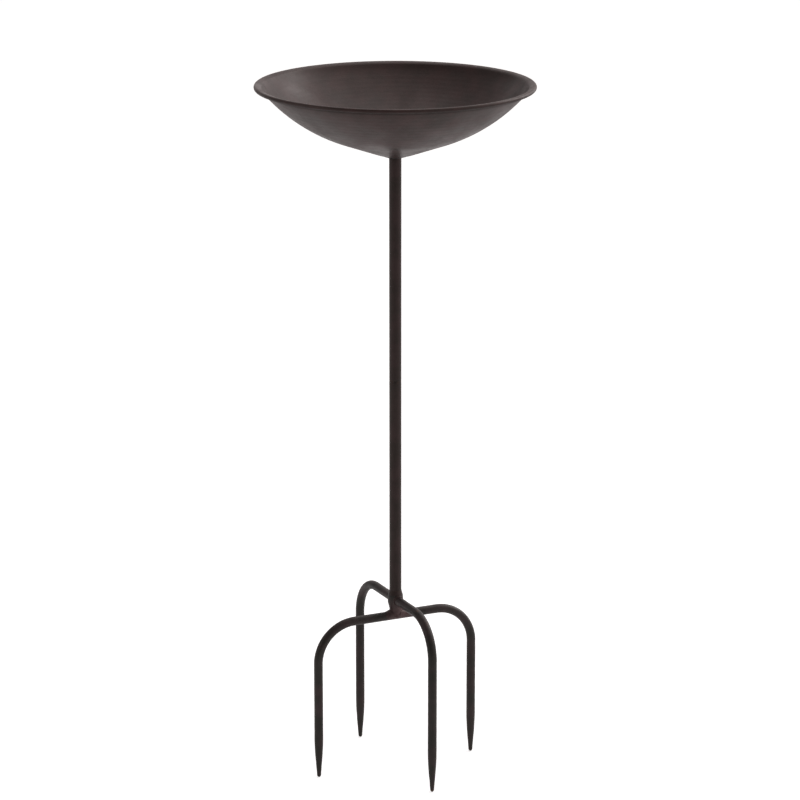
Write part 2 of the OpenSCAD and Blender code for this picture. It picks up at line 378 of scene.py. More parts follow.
def soft_ring(outer_r, inner_r, low, high, edge=SOFT_EDGE, step=None):
    """Outline of a tube or ring with soft corners, with extra rows every step of its height."""
    heights = np.linspace(low + edge, high - edge, 2 + int((high - low) / step) if step else 2)
    outside = [(outer_r, z) for z in heights[1:-1]]
    inside = [(inner_r, z) for z in heights[1:-1]]
    return (corner((outer_r - edge, low + edge), edge, -90, 0) + outside
            + corner((outer_r - edge, high - edge), edge, 0, 90)
            + corner((inner_r + edge, high - edge), edge, 90, 180) + inside[::-1]
            + corner((inner_r + edge, low + edge), edge, 180, 270))


def lumps(point, scale, seed=0.0):
    """Smooth noise from about -1 to 1 at a point."""
    return noise.noise(Vector(point) * scale + Vector((seed, -seed, seed * 2)))


# ---------------------------------------------------------------- materials

def node_tree(name):
    material = bpy.data.materials.new(name)
    material.use_nodes = True
    nodes, links = material.node_tree.nodes, material.node_tree.links
    shader = nodes["Principled BSDF"]
    place = nodes.new("ShaderNodeTexCoord").outputs["Object"]
    return material, nodes, links, shader, place


def noise_node(nodes, links, place, pattern, stretch=None):
    """One of the noise patterns, in the part's own metres, stretched along some axes if asked."""
    scale, detail, roughness = NOISE[pattern]
    if stretch:
        mapping = nodes.new("ShaderNodeMapping")
        mapping.inputs["Scale"].default_value = stretch
        links.new(place, mapping.inputs["Vector"])
        place = mapping.outputs["Vector"]
    texture = nodes.new("ShaderNodeTexNoise")
    texture.inputs["Scale"].default_value = scale
    texture.inputs["Detail"].default_value = detail
    texture.inputs["Roughness"].default_value = roughness
    links.new(place, texture.inputs["Vector"])
    return texture.outputs["Fac"]


def ramp_node(nodes, links, value, first, last):
    """A colour ramp between two stops, each a place on it and a colour."""
    ramp = nodes.new("ShaderNodeValToRGB")
    for element, (at, colour) in zip(ramp.color_ramp.elements, (first, last)):
        element.position = at
        element.color = (*colour, 1)
    links.new(value, ramp.inputs["Fac"])
    return ramp.outputs["Color"]


def mix_node(nodes, links, factor, a, b):
    mix = nodes.new("ShaderNodeMix")
    mix.data_type = "RGBA"
    for socket, value in ((mix.inputs["Factor"], factor), (mix.inputs["A"], a), (mix.inputs["B"], b)):
        if isinstance(value, (int, float)):
            socket.default_value = value
        elif isinstance(value, tuple):
            socket.default_value = (*value, 1)
        else:
            links.new(value, socket)
    return mix.outputs["Result"]


def map_node(nodes, links, value, given, wanted):
    """Maps one range of values onto another, and holds them inside it."""
    remap = nodes.new("ShaderNodeMapRange")
    remap.inputs["From Min"].default_value, remap.inputs["From Max"].default_value = given
    remap.inputs["To Min"].default_value, remap.inputs["To Max"].default_value = wanted
    links.new(value, remap.inputs["Value"])
    return remap.outputs["Result"]


def math_node(nodes, links, operation, a, b=None):
    node = nodes.new("ShaderNodeMath")
    node.operation = operation
    for socket, value in zip(node.inputs, (a, b)):
        if value is None:
            continue
        if isinstance(value, (int, float)):
            socket.default_value = value
        else:
            links.new(value, socket)
    return node.outputs["Value"]


def bump_node(nodes, links, height, strength, distance, under=None):
    bump = nodes.new("ShaderNodeBump")
    bump.inputs["Strength"].default_value = strength
    bump.inputs["Distance"].default_value = distance
    links.new(height, bump.inputs["Height"])
    if under is not None:
        links.new(under, bump.inputs["Normal"])
    return bump.outputs["Normal"]


def radius_node(nodes, links, place):
    """Distance from the pole's axis."""
    flatten = nodes.new("ShaderNodeVectorMath")
    flatten.operation = "MULTIPLY"
    flatten.inputs[1].default_value = (1, 1, 0)
    links.new(place, flatten.inputs[0])
    length = nodes.new("ShaderNodeVectorMath")
    length.operation = "LENGTH"
    links.new(flatten.outputs["Vector"], length.inputs[0])
    return length.outputs["Value"]


def bronze(name, tones, spin=False, heat=None, sheen=WARM_SHEEN):
    """Oil-rubbed bronze powder coat: mottled brown, orange peel, a coppery tone where it is rubbed or given a
    painted highlight, and painted shade where the stored values fall below 0.
    """
    material, nodes, links, shader, place = node_tree(name)
    dark, light, warm = tones
    mottling = noise_node(nodes, links, place, "mottling")
    broad = map_node(nodes, links, noise_node(nodes, links, place, "broad_tone"), BROAD_SPREAD, (0, 1))
    base = mix_node(nodes, links, broad, dark, light)
    mottled = map_node(nodes, links, mottling, MOTTLING_SPREAD, (0, MOTTLING_MOST))
    tinted = mix_node(nodes, links, mottled, base, warm)
    if heat:
        tinted = mix_node(nodes, links, heat_node(nodes, links, place, mottling), tinted, heat)
    flecks = map_node(nodes, links, noise_node(nodes, links, place, "specks"), FLECK_SPREAD, (0, FLECK_MOST))
    coat = mix_node(nodes, links, flecks, tinted, tuple(FLECK_BRIGHTER * c for c in warm))

    wear_and_painted_light = nodes.new("ShaderNodeAttribute")
    wear_and_painted_light.attribute_name = "wear_and_painted_light"
    patches = noise_node(nodes, links, place, "ragged_wear")
    patchy = map_node(nodes, links, patches, RAGGED_SPREAD, (-RAGGED_BY, RAGGED_BY))
    ragged = math_node(nodes, links, "ADD", wear_and_painted_light.outputs["Fac"], patchy)
    # Copper where the coat is rubbed, and a painted highlight on the outside of the rods' bends
    rub_and_highlight = map_node(nodes, links, ragged, RUBBED_SPREAD, (0, 1))
    # Painted shade: where the stored values fall below 0, the coat is darkened towards a near-black tone and
    # made rougher
    painted_shade = map_node(nodes, links, wear_and_painted_light.outputs["Fac"], PAINTED_SHADE_SPREAD, (PAINTED_SHADE_MOST, 0))
    coat_with_painted_light = mix_node(nodes, links, painted_shade, mix_node(nodes, links, rub_and_highlight, coat, COPPER_RUB_AND_HIGHLIGHT), PAINTED_SHADE_TONE)
    links.new(coat_with_painted_light, shader.inputs["Base Color"])

    smudges = noise_node(nodes, links, place, "smudges")
    gloss = map_node(nodes, links, smudges, SMUDGE_SPREAD, (COAT_SMOOTH, COAT_SMUDGED))
    smoother = math_node(nodes, links, "MULTIPLY", rub_and_highlight, RUBBED_SMOOTHER)
    rougher = math_node(nodes, links, "MULTIPLY", painted_shade, PAINTED_SHADE_ROUGHER)
    worn_gloss = math_node(nodes, links, "SUBTRACT", gloss, smoother)
    links.new(math_node(nodes, links, "ADD", worn_gloss, rougher), shader.inputs["Roughness"])
    links.new(math_node(nodes, links, "MULTIPLY", rub_and_highlight, RUBBED_METAL), shader.inputs["Metallic"])

    peel = noise_node(nodes, links, place, "orange_peel")
    normal = bump_node(nodes, links, peel, PEEL_STRENGTH, PEEL_H)
    if spin:
        normal = spin_rings(nodes, links, place, normal)
    links.new(normal, shader.inputs["Normal"])
    shader.inputs["Specular IOR Level"].default_value = SHEEN
    shader.inputs["Specular Tint"].default_value = (*sheen, 1)
    return material


def heat_node(nodes, links, place, ragged):
    """How much the welding has browned the coat, from 1 at the pole's foot to 0 a little way off."""
    away = nodes.new("ShaderNodeVectorMath")
    away.operation = "DISTANCE"
    away.inputs[1].default_value = HEAT_MIDDLE
    links.new(place, away.inputs[0])
    near = map_node(nodes, links, away.outputs["Value"], (HEAT_FULL, HEAT_NONE), (1.0, 0.0))
    patchy = map_node(nodes, links, ragged, HEAT_SPREAD, (HEAT_LEAST, 1.0))
    return math_node(nodes, links, "MULTIPLY", near, patchy)


def spin_rings(nodes, links, place, under):
    """Fine rings that a spinning roller leaves in sheet, uneven in depth."""
    radius = radius_node(nodes, links, place)
    drift = math_node(nodes, links, "MULTIPLY", noise_node(nodes, links, place, "ring_drift"), RING_DRIFT)
    wavy = math_node(nodes, links, "ADD", radius, drift)
    turns = math_node(nodes, links, "MULTIPLY", wavy, 2 * math.pi / RING_PITCH)
    rings = math_node(nodes, links, "SINE", turns)
    uneven = noise_node(nodes, links, place, "ring_depth")
    depth = map_node(nodes, links, uneven, RING_SPREAD, (RING_LEAST, 1.0))
    height = math_node(nodes, links, "MULTIPLY", rings, depth)
    return bump_node(nodes, links, height, RING_STRENGTH, RING_H, under)


def zinc(name):
    """Zinc-plated turned steel with fine lathe lines and a dull cloudiness."""
    material, nodes, links, shader, place = node_tree(name)
    cloudy = noise_node(nodes, links, place, "zinc_cloud")
    lines = noise_node(nodes, links, place, "lathe_lines", LATHE_STRETCH)
    tone = mix_node(nodes, links, map_node(nodes, links, cloudy, ZINC_SPREAD, (0, 1)), ZINC_GREY, ZINC_WARM)
    line_depth = map_node(nodes, links, lines, LATHE_SPREAD, (0, LATHE_MOST))
    links.new(mix_node(nodes, links, line_depth, tone, ZINC_LINE), shader.inputs["Base Color"])
    links.new(map_node(nodes, links, cloudy, ZINC_GLOSS_SPREAD, ZINC_ROUGHNESS), shader.inputs["Roughness"])
    links.new(bump_node(nodes, links, lines, LATHE_STRENGTH, LATHE_H), shader.inputs["Normal"])
    shader.inputs["Metallic"].default_value = 1.0
    return material


def rubber(name):
    """Matt black rubber with a dusty bloom."""
    material, nodes, links, shader, place = node_tree(name)
    bloom = noise_node(nodes, links, place, "rubber_bloom")
    tone = ramp_node(nodes, links, bloom, (BLOOM_START, RUBBER_BLACK), (BLOOM_FULL, RUBBER_BLOOM))
    grain = noise_node(nodes, links, place, "rubber_grain")
    links.new(tone, shader.inputs["Base Color"])
    gloss = map_node(nodes, links, bloom, RUBBER_GLOSS_SPREAD, RUBBER_ROUGHNESS)
    links.new(gloss, shader.inputs["Roughness"])
    links.new(bump_node(nodes, links, grain, GRAIN_STRENGTH, GRAIN_H), shader.inputs["Normal"])
    return material


def pale_floor(name):
    """A matt, nearly white floor that looks evenly lit, with a soft shadow where something stands."""
    material, nodes, links, shader, place = node_tree(name)
    patches = noise_node(nodes, links, place, "floor_tone")
    tone = ramp_node(nodes, links, patches, (FLOOR_FROM, FLOOR_DARK), (FLOOR_TO, FLOOR_LIGHT))
    links.new(tone, shader.inputs["Base Color"])
    shader.inputs["Roughness"].default_value = FLOOR_ROUGHNESS
    shader.inputs["Specular IOR Level"].default_value = FLOOR_SHEEN
    seen = nodes.new("ShaderNodeLightPath").outputs["Is Camera Ray"]
    glow = map_node(nodes, links, seen, (0, 1), (FLOOR_BOUNCE, FLOOR_GLOW))
    links.new(glow, shader.inputs["Emission Strength"])
    shader.inputs["Emission Color"].default_value = (1, 1, 1, 1)
    return material


# ---------------------------------------------------------------- bowl

def hermite(a, b, slope_a, slope_b, steps):
    """Points between a and b, leaving and arriving at the given slopes."""
    reach = math.dist(a, b)
    ta, tb = (reach * np.array([math.cos(math.radians(slope)), math.sin(math.radians(slope))])
              for slope in (slope_a, slope_b))
    a, b = np.array(a), np.array(b)
    found = []
    for i in range(1, steps):
        t = i / steps
        found.append(tuple((2 * t**3 - 3 * t**2 + 1) * a + (t**3 - 2 * t**2 + t) * ta
                           + (3 * t**2 - 2 * t**3) * b + (t**3 - t**2) * tb))
    return found


def bowl_middle_line():
    """The middle of the bowl's sheet as (radius, height), from the axis to the cut edge of the curl."""
    low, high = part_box("bowl")
    bead_centre = np.array([high.x - BEAD_R, high.z - BEAD_R])
    crease = math.radians(CREASE_DEG)
    lip_end = bead_centre + BEAD_R * np.array([-math.cos(crease), math.sin(crease)])
    curves = (sweep(KNUCKLE_R, 0, CONE_DEG) + sweep(SIDE_R, CONE_DEG, SIDE_DEG)
              + sweep(SHOULDER_R, SIDE_DEG, SHOULDER_DEG) + sweep(-FLARE_R, SHOULDER_DEG, LIP_DEG))
    cone_width = lip_end[0] - FLAT_R - curves[0]

    flat_end = np.array([FLAT_R, low.z])
    cone_start = flat_end + sweep(KNUCKLE_R, 0, CONE_DEG)
    side_start = cone_start + cone_width * np.array([1, math.tan(math.radians(CONE_DEG))])
    shoulder_start = side_start + sweep(SIDE_R, CONE_DEG, SIDE_DEG)
    flare_start = shoulder_start + sweep(SHOULDER_R, SIDE_DEG, SHOULDER_DEG)

    half = SHEET_T / 2

    def curve(start, radius, from_deg, to_deg, steps):
        return slope_arc(centre_of(start, radius, from_deg), radius - half, from_deg, to_deg, steps)

    flat = [(r, low.z + half) for r in np.linspace(0, FLAT_R, num=8)[:-1]]
    knuckle = curve(flat_end, KNUCKLE_R, 0, CONE_DEG, steps=6)
    side = curve(side_start, SIDE_R, CONE_DEG, SIDE_DEG, steps=52)
    cone_end = np.array(knuckle[-1])
    cone_run = np.array(side[0]) - cone_end
    cone = [tuple(cone_end + cone_run * t) for t in np.linspace(0, 1, num=22)[1:-1]]
    shoulder = curve(shoulder_start, SHOULDER_R, SIDE_DEG, SHOULDER_DEG, steps=7)[1:]
    flare = curve(flare_start, -FLARE_R, SHOULDER_DEG, LIP_DEG, steps=12)[1:]
    curl = corner(bead_centre, BEAD_R - half, CURL_START_DEG, CURL_START_DEG - CURL_TURN_DEG, steps=34)
    lip = hermite(flare[-1], curl[0], LIP_DEG, CURL_START_DEG - 90, steps=4)
    return np.array(flat + knuckle + cone + side + shoulder + flare + lip + curl)


def thicken(line, thickness):
    """Closed outline of a sheet that follows a middle line: its lower face out, then its upper face back."""
    ahead = np.gradient(line, axis=0)
    ahead /= np.linalg.norm(ahead, axis=1)[:, None]
    up = np.column_stack([-ahead[:, 1], ahead[:, 0]])
    travelled = np.concatenate([[0], np.cumsum(np.linalg.norm(np.diff(line, axis=0), axis=1))])
    from_edge = travelled[-1] - travelled
    waves = SPIN_WAVE * np.sin(2 * math.pi * travelled / SPIN_PITCH)
    waves *= np.clip((from_edge - SPIN_MARGIN) / SPIN_FADE, 0, 1)
    waves *= np.clip((travelled - FLAT_R) / SPIN_FADE, 0, 1)
    middle = line + up * waves[:, None]
    lower = middle - up * thickness / 2
    upper = middle + up * thickness / 2
    lower[0, 0] = upper[0, 0] = 0
    edge = (lower[-1] + upper[-1]) / 2 + ahead[-1] * thickness * CUT_EDGE
    return [tuple(p) for p in [*lower, edge, *upper[::-1]]]


def rim_rub_and_painted_shade(line, top):
    """Rubbed on top of the rolled edge, where it is touched. Painted shade outside, in the groove below it.
    """
    groove = top - 2 * BEAD_R - GROOVE_DROP
    rising = line[:line[:, 1].argmax()]

    def tone(co):
        rub_and_highlight = RIM_RUB * max(0.0, 1 - (top - co.z) / RIM_RUB_H)
        outside = math.hypot(co.x, co.y) > np.interp(co.z, rising[:, 1], rising[:, 0])
        # Painted shade in the groove outside the bowl, below the rolled edge
        return rub_and_highlight - (max(0.0, 1 - abs(co.z - groove) / GROOVE_H) if outside else 0.0)
    return tone


def make_bowl(material):
    line = bowl_middle_line()
    outline = thicken(line, SHEET_T)
    wear_and_painted_light = rim_rub_and_painted_shade(line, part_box("bowl")[1].z)
    return lathe("bowl_shell", outline, material, segments=256, solid=True, wear_and_painted_light=wear_and_painted_light)


def make_flange(material):
    low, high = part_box("bowl_flange")
    outline = soft_ring(high.x, STUD_R, low.z, high.z, FLANGE_EDGE)
    return lathe("bowl_flange_disc", outline, material, segments=96, wear_and_painted_light=lambda co: FLANGE_RUB)


# ---------------------------------------------------------------- threads

def thread_radius(phase, crest, root):
    """Radius of a 60 degree thread with flat crest and root, by its place in one pitch."""
    flat, flank = 0.125, 0.3125
    if phase < flat:
        return crest
    if phase < flat + flank:
        return crest + (root - crest) * (phase - flat) / flank
    if phase < 1 - flank:
        return root
    return root + (crest - root) * (phase - 1 + flank) / flank


def thread_points(low, high, crest, root, end_r):
    """Rows of points that climb with a right-hand thread, flattened onto both ends, and how many rows."""
    outwards = 1 if crest > root else -1
    count = math.ceil(((high - low) / PITCH + 1) * THREAD_STEPS) + 1
    points = []
    for k in range(count):
        for i in range(THREAD_AROUND):
            z = min(high, max(low, low + (k / THREAD_STEPS + i / THREAD_AROUND - 1) * PITCH))
            wanted = thread_radius(k / THREAD_STEPS % 1, crest, root)
            led_in = end_r + outwards * min(z - low, high - z)
            r = min(wanted, led_in) if outwards > 0 else max(wanted, led_in)
            a = 2 * math.pi * i / THREAD_AROUND
            points.append((r * math.cos(a), r * math.sin(a), z))
    return points, count


def thread_faces(rows):
    """Faces between the rows. The last column joins the first one a pitch higher."""
    around = THREAD_AROUND
    found = []
    for k in range(rows - 1):
        for i in range(around - 1):
            found.append((k * around + i, k * around + i + 1, (k + 1) * around + i + 1, (k + 1) * around + i))
        low, high = min(k + THREAD_STEPS, rows - 1), min(k + 1 + THREAD_STEPS, rows - 1)
        found.append((k * around + around - 1, low * around, high * around, (k + 1) * around + around - 1))
    return found


def ring_faces(one, other):
    """Faces between two rings of a threaded piece, given by the number of their first points."""
    return [(one + i, one + (i + 1) % THREAD_AROUND, other + (i + 1) % THREAD_AROUND, other + i)
            for i in range(THREAD_AROUND)]


def make_stud(material):
    """The stud: a plain shank through the flange, then a real M8 thread with a led-in end."""
    low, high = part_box("bowl_stud")
    flange_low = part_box("bowl_flange")[0].z
    points, rows = thread_points(low.z, flange_low, STUD_R, STUD_ROOT_R, STUD_R - STUD_LEAD)
    faces = thread_faces(rows)
    faces.append(tuple(range(THREAD_AROUND))[::-1])
    top = (rows - 1) * THREAD_AROUND
    for z in (flange_low, high.z):
        points += circle(STUD_R, z, THREAD_AROUND)
    for ring in (top, top + THREAD_AROUND):
        faces += ring_faces(ring, ring + THREAD_AROUND)
    faces.append(tuple(top + 2 * THREAD_AROUND + i for i in range(THREAD_AROUND)))
    return thread_object("bowl_stud_thread", points, faces, material)


def make_insert(material):
    """The threaded insert in the pole's top: the mating thread inside a plain sleeve."""
    low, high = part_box("top_insert")
    points, rows = thread_points(low.z, high.z, STUD_ROOT_R + THREAD_PLAY, STUD_R + THREAD_PLAY,
                                 STUD_R + INSERT_LEAD)
    faces = thread_faces(rows)
    edge = TURNED_EDGE
    rings = []
    for r, z in ((high.x - edge, low.z), (high.x, low.z + edge),
                 (high.x, high.z - edge), (high.x - edge, high.z)):
        rings.append(len(points))
        points += circle(r, z, THREAD_AROUND)
    for one, other in zip(rings, rings[1:]):
        faces += ring_faces(one, other)
    top = (rows - 1) * THREAD_AROUND
    for inner, outer in ((0, rings[0]), (top, rings[-1])):
        faces += ring_faces(inner, outer)
    return thread_object("top_insert_thread", points, faces, material)


def thread_object(name, points, faces, material):
    mesh = bpy.data.meshes.new(name)
    mesh.from_pydata(points, [], faces)
    tidy(mesh)
    add_wear_and_painted_light(mesh, None)
    return link(name, mesh, material, sharp_deg=30)


# ---------------------------------------------------------------- pole

def make_tube(name, node, material, seed):
    """A tube, drawn in by a hair here and there, with the coat rubbed on its two ends."""
    low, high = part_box(node)
    outline = soft_ring(high.x, high.x - TUBE_WALL, low.z, high.z, SOFT_EDGE, TUBE_STEP)

    def shape(p):
        away = Vector((p.x, p.y, 0))
        place = (p.x * DRAWN_AROUND, p.y * DRAWN_AROUND, p.z)
        inwards = TUBE_DRAWN * (0.5 + 0.5 * lumps(place, DRAWN_SCALE, seed))
        return p - away.normalized() * inwards

    def wear_and_painted_light(co):
        return END_RUB * max(0.0, 1 - min(co.z - low.z, high.z - co.z) / END_RUB_H)
    return lathe(name, outline, material, segments=72, wear_and_painted_light=wear_and_painted_light, shape=shape)


def make_ferrule(material):
    """The joining sleeve: held in the upper tube, with a slimmer end that slides in the lower one."""
    low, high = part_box("pole_ferrule")
    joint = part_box("upper_pole")[0].z
    free_r = high.x - SLIDE_GAP
    bore = FERRULE_BORE_R
    edge = TURNED_EDGE
    outline = [(free_r - FERRULE_LEAD / 2, low.z)]
    outline += corner((free_r - edge, low.z + FERRULE_LEAD), edge, -25, 0, steps=3)
    outline += [(free_r, z) for z in np.linspace(low.z + FERRULE_LEAD + edge, joint, num=8)]
    outline += [(high.x, joint), (high.x, high.z - edge), (high.x - edge, high.z)]
    outline += corner((bore + edge, high.z - edge), edge, 90, 180, steps=3)
    outline += corner((bore + edge, low.z + edge), edge, 180, 270, steps=3)
    return lathe("pole_ferrule_sleeve", outline, material, segments=72, sharp_deg=30)


def make_washer(material):
    """The rubber washer, with soft edges."""
    low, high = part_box("bowl_washer")
    outline = soft_ring(high.x, STUD_R + WASHER_PLAY, low.z, high.z, WASHER_EDGE)
    return lathe("bowl_washer_ring", outline, material, segments=72)


# ---------------------------------------------------------------- stake

def bar_path(span, top, step=ROD_STEP):
    """Points and radii along one bent rod, tip to tip, in its own plane of (along, height)."""
    leg = top - BEND_R
    levels, radii = [], []
    for a in np.radians(np.linspace(TIP_FROM_DEG, 90, num=9)):
        levels.append(TIP_R * (1 - math.cos(a)))
        radii.append(TIP_R * math.sin(a))
    for t in np.linspace(0, 1, num=30)[1:]:
        levels.append(TIP_R + (TAPER - TIP_R) * t)
        radii.append(TIP_R + (ROD_R - TIP_R) * math.sin(t * math.pi / 2) ** TAPER_POWER)
    for z in np.arange(TAPER + step, leg - step / 2, step):
        levels.append(z)
        radii.append(ROD_R)
    bend = np.radians(np.linspace(0, 90, num=36))
    corner_points = [(-span + BEND_R - BEND_R * math.cos(a), leg + BEND_R * math.sin(a)) for a in bend]
    straight = [(x, top) for x in np.arange(-span + BEND_R + step, 0, step)]
    half = [(-span, z) for z in levels] + corner_points + straight
    half_radii = radii + [ROD_R] * (len(corner_points) + len(straight))
    mirrored = [(-x, z) for x, z in half[::-1]]
    return np.array(half + mirrored), np.array(half_radii + half_radii[::-1])


def make_bar(name, node, material, along_y, seed):
    """One rod, bent down at both ends, with hammered tapers."""
    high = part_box(node)[1]
    reach = high.y if along_y else high.x
    path, radii = bar_path(reach - ROD_R, high.z - ROD_R)
    ahead = np.gradient(path, axis=0)
    ahead /= np.linalg.norm(ahead, axis=1)[:, None]
    rings = []
    angles = np.linspace(0, 2 * math.pi, num=40, endpoint=False)
    for (u, z), (du, dz), r in zip(path, ahead, radii):
        forged = min(1.0, max(0.0, 1 - z / TAPER))
        # 0 along the legs and the top, 1 half way round a bend
        bending = 4 * (du * dz) ** 2
        ring = []
        for a in angles:
            square = 1 + FORGED_SQUARE * forged * math.cos(4 * a) - BEND_OVAL * bending * math.cos(2 * a)
            place = (u + r * math.cos(a), r * math.sin(a), z)
            dents = (ROD_DENT + TAPER_DENT * forged) * min(0.0, lumps(place, DENT_SCALE, seed))
            dents += FINE_DENT * lumps(place, FINE_DENT_SCALE, seed + 5)
            radius = r * square + dents * min(1.0, r / TIP_R)
            across, inplane = radius * math.sin(a), radius * math.cos(a)
            x, y, h = u - dz * inplane, across, max(0.0, z + du * inplane)
            ring.append((-y, x, h) if along_y else (x, y, h))
        rings.append(ring)

    def wear_and_painted_light(co):
        """Rubbed at the tips and along the top, with a painted highlight on the outside of both bends."""
        right = abs(co.y if along_y else co.x) - (reach - ROD_R - BEND_R)
        up = co.z - (high.z - ROD_R - BEND_R)
        outside = max(0.0, (math.hypot(right, up) - BEND_R) / ROD_R) if right > 0 and up > 0 else 0.0
        tip = TIP_RUB * max(0.0, 1 - co.z / TIP_RUB_H)
        # The outside of both bends gets a painted highlight through the rubbed tone
        return tip + max(TOP_RUB if co.z > high.z - TOP_RUB_H else 0.0, BEND_PAINTED_HIGHLIGHT * outside)
    return grid_object(name, rings, material, wear_and_painted_light=wear_and_painted_light)


# ---------------------------------------------------------------- welds

def resample(path, step):
    """A closed path at even steps."""
    closed = np.vstack([path, path[:1]])
    travelled = np.concatenate([[0], np.cumsum(np.linalg.norm(np.diff(closed, axis=0), axis=1))])
    count = int(travelled[-1] / step)
    at = np.linspace(0, travelled[-1], count, endpoint=False)
    return np.column_stack([np.interp(at, travelled, closed[:, k]) for k in range(3)])


def relaxed(path, rounds):
    """A closed path with its corners softened."""
    for _ in range(rounds):
        path = (np.roll(path, 1, axis=0) + 2 * path + np.roll(path, -1, axis=0)) / 4
    return path


def bead_rings(path, radius, ripple, seed, around=22):
    """Rings of a weld bead along a closed path, with the overlapping ripples that a welder leaves."""
    path = relaxed(resample(path, BEAD_STEP_MM * MM), BEAD_SOFTEN)
    ahead = np.roll(path, -1, axis=0) - np.roll(path, 1, axis=0)
    ahead /= np.linalg.norm(ahead, axis=1)[:, None]
    middle = path.mean(axis=0)
    rings = []
    for n, (point, along) in enumerate(zip(path, ahead)):
        outwards = point - middle
        outwards -= along * (outwards @ along)
        outwards /= np.linalg.norm(outwards)
        across = np.cross(along, outwards)
        wave = (n * BEAD_STEP_MM * MM / ripple) % 1
        swell = 1 + RIPPLE_SWELL * (wave - 0.5) + BEAD_LUMP * lumps(point, BEAD_LUMP_SCALE, seed)
        ring = []
        for a in np.linspace(0, 2 * math.pi, around, endpoint=False):
            away = math.cos(a) * outwards + math.sin(a) * across
            lag = RIPPLE_TRAIL * ripple * (1 - math.cos(a))
            r = radius * (swell + BEAD_FINE_LUMP * lumps(point + away * radius, BEAD_FINE_SCALE, seed + 3))
            ring.append(point + away * r - along * lag)
        rings.append(ring)
    return np.array(rings)


def weld_object(name, loops, material):
    """One piece of one or more closed weld beads."""
    points, faces, start = [], [], 0
    for rings in loops:
        rows, columns = rings.shape[:2]
        points += rings.reshape(-1, 3).tolist()
        faces += [tuple(start + i for i in face) for face in quads(rows, columns, True)]
        start += rows * columns
    mesh = bpy.data.meshes.new(name)
    mesh.from_pydata(points, [], faces)
    tidy(mesh, distance=1e-7)
    add_wear_and_painted_light(mesh, lambda co: WELD_RUB)
    return link(name, mesh, material, sharp_deg=60)


def make_flange_weld(material):
    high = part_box("flange_weld")[1]
    flange_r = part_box("bowl_flange")[1].x
    path = np.array(circle(flange_r + FLANGE_BEAD_OUT, high.z - FLANGE_BEAD_DROP, count=240))
    loop = bead_rings(path, FLANGE_BEAD_R, FLANGE_RIPPLE, seed=2.0)
    return weld_object("flange_weld_bead", [loop], material)


def swelling(name, low_z, high_z, material, roughness, seed, wear_and_painted_light):
    """A stretch of the swelling round the pole where the upper bar goes through, slightly lumpy."""
    pole_r, collar_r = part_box("lower_pole")[1].x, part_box("stake_collar")[1].x
    bar_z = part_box("upper_prong_bar")[1].z - ROD_R
    heights = np.linspace(low_z, high_z, 2 + int((high_z - low_z) / SWELL_STEP))
    out = pole_r + (collar_r - pole_r) * np.interp(heights - bar_z, SWELL_AT, SWELL)
    outline = [(pole_r - SUNK, low_z), *zip(out, heights), (pole_r - SUNK, high_z)]

    def lumpy(p):
        away = Vector((p.x, p.y, 0))
        on_outside = max(0.0, (away.length - pole_r) / (collar_r - pole_r))
        from_end = min(p.z - low_z, high_z - p.z) / SWELL_FADE
        lump = SWELL_LUMP * lumps(p, SWELL_LUMP_SCALE, seed)
        lump += SWELL_FINE_LUMP * lumps(p, SWELL_FINE_SCALE, seed + 2)
        return p + away.normalized() * roughness * lump * max(0.0, min(1.0, 2 * on_outside, from_end))
    return lathe(name, outline, material, segments=120, wear_and_painted_light=lambda co: wear_and_painted_light, shape=lumpy)


def make_collar(material):
    low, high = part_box("stake_collar")
    return swelling("stake_collar_sleeve", low.z, high.z, material, COLLAR_ROUGH, seed=5.0, wear_and_painted_light=COLLAR_RUB)


def make_collar_weld(material):
    low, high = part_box("collar_weld")
    return swelling("collar_weld_bead", low.z, high.z, material, COLLAR_WELD_ROUGH, seed=7.0, wear_and_painted_light=WELD_RUB)


def make_upper_bar_weld(material):
    """Beads where the upper bar goes into the collar, on both sides."""
    bar_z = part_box("upper_prong_bar")[1].z - ROD_R
    collar_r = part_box("stake_collar")[1].x
    loops = []
    for side, seed in ((1, 11.0), (-1, 14.0)):
        path = [(x, side * math.sqrt(collar_r**2 - x**2), bar_z + up)
                for x, up, _ in circle(ROD_R, 0, count=200)]
        loops.append(bead_rings(np.array(path), UPPER_BEAD_R, UPPER_RIPPLE, seed))
    return weld_object("upper_bar_weld_bead", loops, material)


def bar_puddle(bar_z, length, seed, around=56):
    """Rings of a weld puddle along the lower bar, full under the pole's foot and thinning out both ways."""
    rings = []
    inside = ROD_R - SUNK
    steps = [(inside, -1.0)] + [(None, t) for t in np.linspace(-1, 1, num=61)] + [(inside, 1.0)]
    for r, t in steps:
        left = min(1.0, (1 - abs(t)) / (1 - PUDDLE_FULL))
        fade = left * left * (3 - 2 * left)
        ripple = PUDDLE_RIPPLE * math.sin(abs(t) * PUDDLE_RIPPLES)
        ring = []
        for a in np.linspace(0, 2 * math.pi, around, endpoint=False):
            across, up = math.cos(a), math.sin(a)
            upper = min(1.0, max(0.0, PUDDLE_SIDE + PUDDLE_FALL * up))
            place = (length * t, ROD_R * across, bar_z + ROD_R * up)
            lump = PUDDLE_LUMP * lumps(place, PUDDLE_LUMP_SCALE, seed)
            ragged = PUDDLE_RAGGED * lumps((across, up, math.copysign(1, t)), PUDDLE_RAGGED_SCALE, seed)
            thick = PUDDLE_RISE * fade * upper * (1 + lump + ripple)
            out = r or ROD_R - PUDDLE_SUNK + max(0.0, thick)
            stretch = 1.0 if r else 1 + ragged
            ring.append((length * t * stretch, out * across, bar_z + out * up))
        rings.append(ring)
    return np.array(rings)


